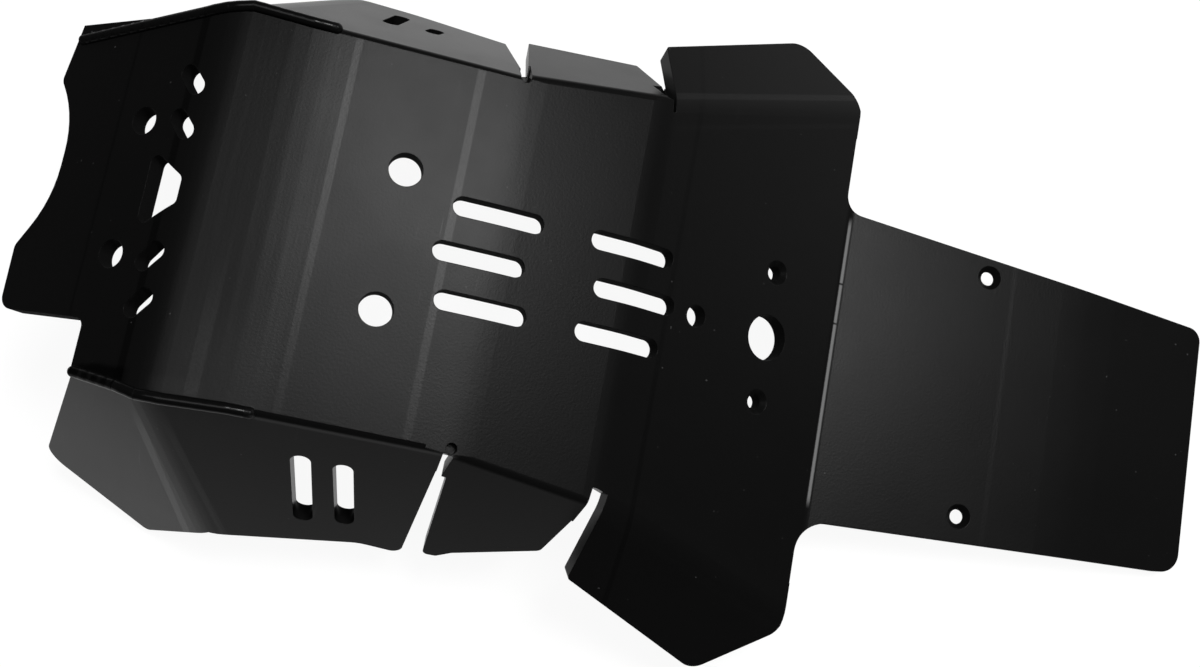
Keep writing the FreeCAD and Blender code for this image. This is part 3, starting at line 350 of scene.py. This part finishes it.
# %% [markdown]
# The rear wings are folded along lines that spread toward the tail. Each fold has a shiny band on
# its round, and the clamp left a fainter line 16 mm further in. The same hill works for both sides
# when it is laid over the distance from the middle less a share of the way along.

# %% Lay the shiny lines at the rear folds
FOLD_SPREAD = 0.36
REAR_LINES = [(55.6, 3.6, 0.8), (39.6, 2.4, 0.3)]
REAR_MIDDLE, REAR_FADE = 0.162, (0.054, 0.046)
sum_of = {0: tray["X"], 1: -FOLD_SPREAD, 2: from_middle}
spread = add(sheet, "ShaderNodeMath", sum_of, operation="MULTIPLY_ADD")
on_rear = (distance(sheet, tray["X"], REAR_MIDDLE), *REAR_FADE)
coat = lay(sheet, coat, hills(sheet, spread, REAR_LINES), on_rear)

# %% [markdown]
# Next to the near weld the hot air gun left two stains: a blackened one on the nose panel and a
# dimpled shiny one in the bend, where the whole near side is a little shinier. Cloudy noise frays
# their outlines.

# %% Stain the sheet beside the near weld
CLOUDS_PER_M, FRAY = 14.0, 0.02
WELD_EDGE, NOSE_EDGE, NEAR_EDGE = (0.0735, 0.0765), (-0.089, -0.095), (-0.030, -0.070)
STAIN_MIDDLE, STAIN_FADE = -0.073, (0.016, 0.009)
SHINE_MIDDLE, SHINE_FADE = -0.056, (0.028, 0.010)
BLACKENED, DIMPLED, POLISHED = 0.9, 0.3, 0.6
clouds = {"Vector": tray_point, "Scale": CLOUDS_PER_M, "Detail": 4.0, "Roughness": 0.6}
cloud = add(sheet, "ShaderNodeTexNoise", clouds)
centred = {0: cloud, 1: FRAY, 2: -FRAY / 2}
fray = add(sheet, "ShaderNodeMath", centred, operation="MULTIPLY_ADD")
near = add(sheet, "ShaderNodeMath", {0: fray, 1: tray["Y"]}, operation="SUBTRACT")
beside_weld = (near, *WELD_EDGE)
in_stain = (distance(sheet, tray["X"], STAIN_MIDDLE), *STAIN_FADE)
in_shine = (distance(sheet, tray["X"], SHINE_MIDDLE), *SHINE_FADE)
# The blackened stain is real, and it is added to the painted groove shade.
groove_shade_and_stain = lay(sheet, groove_shade_and_stain, BLACKENED, beside_weld, (tray["X"], *NOSE_EDGE))
coat = lay(sheet, coat, DIMPLED, beside_weld, in_stain, on_tray)
coat = lay(sheet, coat, POLISHED, (tray["Y"], *NEAR_EDGE), in_shine, on_tray)

# %% [markdown]
# The bar touches only the crests of the peel, so every shiny mark is a little broken up by it.

# %% Wear the coat with the peel
WORN_TO = 0.6
NOISE_RANGE = (0.3, 0.7)
worn = lay(sheet, WORN_TO, 1 - WORN_TO, (peel, *NOISE_RANGE))
coat = add(sheet, "ShaderNodeMath", {0: coat, 1: worn}, operation="MULTIPLY")

# %% [markdown]
# ## Painted highlights in the valley and on the folds
#
# In the valley before the tail the sheet is bent the other way, and its concave round catches a
# bright highlight. This highlight is painted into the base as a paler colour, not made by more
# gloss. Two thin cuts cross it. The side folds get a painted highlight too, but only a trace.

# %% Paint highlights on the valley and the folds
# Painted highlight: the valley and fold lines get a paler base that stands in for the light on
# their rounds.
VALLEY_HIGHLIGHT = [(217.3, 1.5, 1.0)]
VALLEY_CUTS = [(36.0, 0.9, -1.0), (16.0, 0.8, -1.0)]
FOLD_HIGHLIGHT_TRACE = [(84.8, 0.9, 0.14)]
TAIL_MIDDLE, TAIL_FADE = -0.002, (0.0725, 0.066)
BELLY_MIDDLE, BELLY_FADE = 0.0025, (0.044, 0.040)
HIGHLIGHT_BREAKUP_LEAST = 0.8
highlight_breakup = lay(sheet, HIGHLIGHT_BREAKUP_LEAST, 1 - HIGHLIGHT_BREAKUP_LEAST, (streak, 0.2, 0.8))
valley = {0: hills(sheet, tray["X"], VALLEY_HIGHLIGHT), 1: highlight_breakup}
pale = add(sheet, "ShaderNodeMath", valley, operation="MULTIPLY")
crossed = {0: pale, 1: hills(sheet, tray["Y"], VALLEY_CUTS), 2: pale}
cut = add(sheet, "ShaderNodeMath", crossed, operation="MULTIPLY_ADD")
tail_root = (distance(sheet, tray["Y"], TAIL_MIDDLE), *TAIL_FADE)
beside_belly = (distance(sheet, tray["X"], BELLY_MIDDLE), *BELLY_FADE)
painted_highlight = lay(sheet, 0.0, cut, tail_root)
painted_highlight = lay(sheet, painted_highlight, hills(sheet, from_middle, FOLD_HIGHLIGHT_TRACE), beside_belly)

# %% [markdown]
# ## Scuffs
#
# The plate is new, so it has only what handling leaves: a few hair scratches in two directions
# and specks of dust. Each is a noise of which only the highest crests are kept, so that they lie
# far apart, and for the scratches the noise is drawn out into threads.

# %% Scatter the hair scratches and the specks
THREADS_PER_M, THREADS_ALONG_PER_M, SPECKS_PER_M = 900.0, 28.0, 560.0
THREAD_TURNS, THREAD_SHINE = (0.35, -0.9), 0.5
THREAD_CREST, SPECK_CREST = (0.76, 0.82), (0.875, 0.90)
thread_scale = (THREADS_PER_M, THREADS_ALONG_PER_M, THREADS_ALONG_PER_M)
for turn in THREAD_TURNS:
    placing = {"Vector": tray_point, "Rotation": (0.0, 0.0, turn), "Scale": thread_scale}
    drawn = add(sheet, "ShaderNodeMapping", placing)
    thread = add(sheet, "ShaderNodeTexNoise", {"Vector": drawn, "Scale": 1.0, "Detail": 1.0})
    coat = lay(sheet, coat, THREAD_SHINE, (thread, *THREAD_CREST))
dots = {"Vector": tray_point, "Scale": SPECKS_PER_M, "Detail": 0.0}
dust = add(sheet, "ShaderNodeTexNoise", dots)
specks = region(sheet, (dust, *SPECK_CREST))

# %% [markdown]
# ## Sawn walls
#
# The walls of the holes and slots were cut, not rolled, so they are matt and stay dark even when
# seen along the wall. They need no list of holes: inside the tray, every face that stands steeper
# than the nose panel is a wall. The inner side, which faces down, is matt by the same rule.

# %% Roughen the sawn walls
TRAY_UP = (math.sin(TRAY_PITCH), 0.0, math.cos(TRAY_PITCH))
STEEPNESS, WALL_LIMIT = (0.65, 0.55), (0.082, 0.079)
SATIN, SATIN_SPREAD, WALL_MATTNESS = 0.28, 0.04, 0.6
facing = add(sheet, "ShaderNodeNewGeometry").outputs["True Normal"]
upright = add(sheet, "ShaderNodeVectorMath", {0: facing, 1: TRAY_UP}, operation="DOT_PRODUCT")
wall = region(sheet, (upright, *STEEPNESS), (from_middle, *WALL_LIMIT))
coat = lay(sheet, 0.0, coat, (wall, 1.0, 0.0))
satin = lay(sheet, SATIN, SATIN_SPREAD, (cloud, *NOISE_RANGE))
sum_of = {0: wall, 1: WALL_MATTNESS, 2: satin}
roughness = add(sheet, "ShaderNodeMath", sum_of, operation="MULTIPLY_ADD")

# %% Join the polyethylene
# The blacker base of the dark lines is painted groove shade, together with the real blackened
# stain.
tone = linear("080808")
# The paler base at the valley and the folds is a painted highlight.
for share, colour in ((groove_shade_and_stain, "010101"), (painted_highlight, "5e5e5e"), (specks, "2c2c2c")):
    mixed = {"Factor": share, 6: tone, 7: linear(colour)}
    tone = add(sheet, "ShaderNodeMix", mixed, data_type="RGBA")
skin = add(
    sheet,
    "ShaderNodeBsdfPrincipled",
    {
        "Base Color": tone,
        "Roughness": roughness,
        "IOR": 1.12,
        "Normal": relief,
        "Coat Weight": coat,
        "Coat Roughness": 0.22,
        "Coat IOR": 1.10,
        "Coat Normal": relief,
    },
)
add(sheet, "ShaderNodeOutputMaterial", {"Surface": skin})
plate.material_slots[0].material = hdpe
print(plate.name, "has", hdpe.name, "made of", len(sheet.nodes), "nodes")

# %% [markdown]
# ## Weld beads
#
# The two front corners are closed with a hot air gun and a filler rod. The rod melts into a round
# bead with slight even waves, one for each push of the hand, about 5 mm apart. The solid has
# straight rods there, with a ball at each joint. A bump could wave their shading, but the joints
# would stay. So each bead gets a real surface: a circle carried along the round corner, whose
# radius waves and closes to nothing at both ends.

# %% Draw a wavy bead along a path
BEAD_RADIUS = 0.00246
WAVE_HEIGHT = 0.000025
WAVE_STEP = 0.0052


def bead_surface(path, rings, spokes):
    """Point(s, t) = path(s) + r(s) (side cos t + lift sin t), a circle carried along the path.

    r(s) = R + h cos(2 pi s / step), and within R of an end it is rounded like a ball.
    """
    step = np.linalg.norm(np.diff(path, axis=0), axis=1)
    along = np.concatenate([[0.0], np.cumsum(step)])
    s = np.linspace(0.0, along[-1], rings)
    centre = np.stack([np.interp(s, along, path[:, k]) for k in range(3)], axis=1)
    way = np.gradient(centre, s, axis=0)
    way /= np.linalg.norm(way, axis=1, keepdims=True)
    side = np.cross(way, [0.0, 0.0, 1.0])
    side /= np.linalg.norm(side, axis=1, keepdims=True)
    lift = np.cross(side, way)
    to_end = np.minimum(np.minimum(s, along[-1] - s) / BEAD_RADIUS, 1.0)
    waves = BEAD_RADIUS + WAVE_HEIGHT * np.cos(2 * np.pi * s / WAVE_STEP)
    radius = waves * np.sqrt(1 - (1 - to_end) ** 2)
    t = np.linspace(0.0, 2 * np.pi, spokes, endpoint=False)
    across, up = np.cos(t)[None, :, None], np.sin(t)[None, :, None]
    ring = side[:, None] * across + lift[:, None] * up
    return centre[:, None] + radius[:, None, None] * ring


def tube_faces(rings, spokes):
    """Joins each ring to the next with quads, and each ring's last spoke to its first."""
    i, j = np.meshgrid(np.arange(rings - 1), np.arange(spokes), indexing="ij")
    near, far = i * spokes + j, i * spokes + (j + 1) % spokes
    return np.stack([near, far, far + spokes, near + spokes], axis=-1).reshape(-1, 4)


# %% [markdown]
# The corner starts on the flat belly, dips by 4.5 degrees along the lead, turns by another 30.8
# degrees over a radius of 38 mm, and runs on straight down the nose panel. So the path is the sum
# of small steps at a known slope. The corner also leans in toward the middle on its way down, so
# its distance from the middle, in mm, is given where each of these runs begins and ends.

# %% Find the two corners
BEAD_START = -0.0405
BELLY_RUN, LEAD_RUN, NOSE_RADIUS = 0.0095, 0.0255, 0.038
LEAD_SLOPE, NOSE_TURN = math.radians(4.5), math.radians(30.8)
STEPS = 600


def corner_path(nose_run, widths, hand):
    """x and z are the sums of -cos(slope) ds and -sin(slope) ds, and y follows the widths."""
    half_bend = NOSE_RADIUS * NOSE_TURN / 2
    knots = np.cumsum([0.0, BELLY_RUN, LEAD_RUN, half_bend, half_bend, nose_run])
    s = np.linspace(0.0, knots[-1], STEPS)
    turned = np.clip((s - knots[2]) / (knots[4] - knots[2]), 0.0, 1.0)
    slope = np.where(s < knots[1], 0.0, LEAD_SLOPE) + NOSE_TURN * turned
    ds = np.diff(s)
    x = BEAD_START - np.concatenate([[0.0], np.cumsum(np.cos(slope[1:]) * ds)])
    z = -np.concatenate([[0.0], np.cumsum(np.sin(slope[1:]) * ds)])
    y = hand * np.interp(s, knots, np.array(widths) / 1000)
    return np.stack([x, y, z], axis=1)


def lay_bead(name, nose_run, widths, hand, rings=420, spokes=24):
    """Puts the bead's points from the tray's frame into the scene's, and smooths its shading."""
    points = bead_surface(corner_path(nose_run, widths, hand), rings, spokes).reshape(-1, 3)
    points = points @ np.array(into_tray) + np.array(TRAY_ORIGIN)
    mesh = bpy.data.meshes.new(name)
    mesh.from_pydata(points, [], tube_faces(rings, spokes))
    mesh.shade_smooth()
    bead = bpy.data.objects.new(name, mesh)
    bpy.context.scene.collection.objects.link(bead)
    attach(bead, "root")
    print(name, "has", len(mesh.polygons), "faces")
    return bead


FAR_RUN, FAR_WIDTHS = 0.0635, (83.4, 83.4, 84.56, 82.02, 79.12, 65.77)
NEAR_RUN, NEAR_WIDTHS = 0.0227, (83.4, 83.4, 84.56, 84.46, 82.29, 79.24)
bead_far = lay_bead("weld_bead_far", FAR_RUN, FAR_WIDTHS, 1)
bead_near = lay_bead("weld_bead_near", NEAR_RUN, NEAR_WIDTHS, -1)

# %% [markdown]
# ## Weld bead finish
#
# The melted rod sets with a fire-polished skin, so the bead is the same black as the sheet but
# glossier, and each lamp draws a thin line along it.

# %% Join the bead's polyethylene
bead_hdpe = bpy.data.materials.new("hdpe_weld_bead_fire_polished")
bead_hdpe.use_nodes = True
weld = bead_hdpe.node_tree
weld.nodes.clear()
melt = {"Base Color": linear("060606"), "Roughness": 0.2, "IOR": 1.16}
fused = add(weld, "ShaderNodeBsdfPrincipled", melt)
add(weld, "ShaderNodeOutputMaterial", {"Surface": fused})
for bead in (bead_far, bead_near):
    bead.data.materials.append(bead_hdpe)
